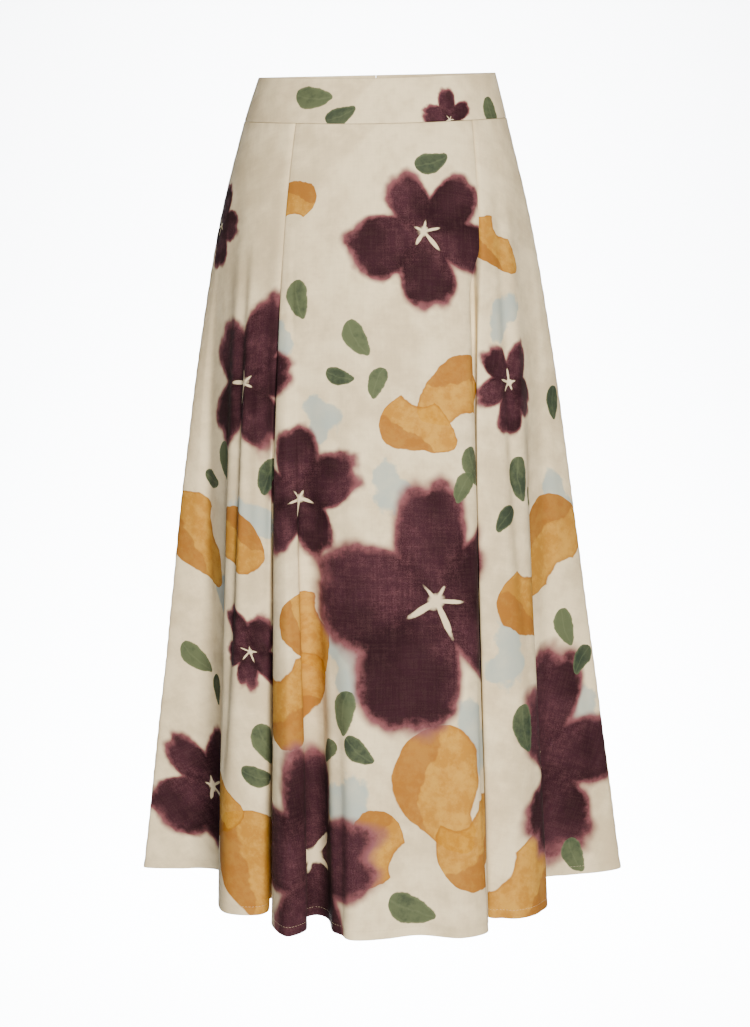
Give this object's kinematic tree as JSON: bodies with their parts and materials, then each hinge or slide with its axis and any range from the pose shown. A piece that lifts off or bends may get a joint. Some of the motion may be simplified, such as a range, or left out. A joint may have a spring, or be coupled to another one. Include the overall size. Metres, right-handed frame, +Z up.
{
  "type": "midi skirt",
  "caption": "Flared midi skirt of printed cloth on a wide waistband, with stitched front pleats that open into deep folds, hollow as worn, open at waist and hem.",
  "frame": {"origin": "middle of the waist opening, level with the top edge of the waistband at the side seams", "axes": "+Z up, +X to the wearer's left, and the front of the skirt faces -Y"},
  "size_m": [0.5082, 0.4299, 0.8315],
  "materials": {
    "printed_cloth": "matt woven cloth, cream with a large painted flower print in plum, ochre, leaf green and pale blue",
    "waistband_cloth": "the same printed cloth, interfaced and smooth",
    "zip_tape": "fine knitted zip tape, cream",
    "zip_enamel": "cream enamel, satin"
  },
  "bodies": {
    "skirt": {"front_panel": "printed_cloth", "back_left_panel": "printed_cloth", "back_right_panel": "printed_cloth", "waistband_front": "waistband_cloth", "waistband_back_left": "waistband_cloth", "waistband_back_right": "waistband_cloth", "zip_tape": "zip_tape", "zip_slider": "zip_enamel"},
    "pull_tab": {"zip_pull_tab": "zip_enamel"}
  },
  "joints": [
    {"name": "pull_tab_swing", "type": "hinge", "parent": "skirt", "child": "pull_tab", "pos_m": [0, 0.09543, -0.01033], "axis": [1, 0, 0], "range_deg": [0, 160]}
  ]
}
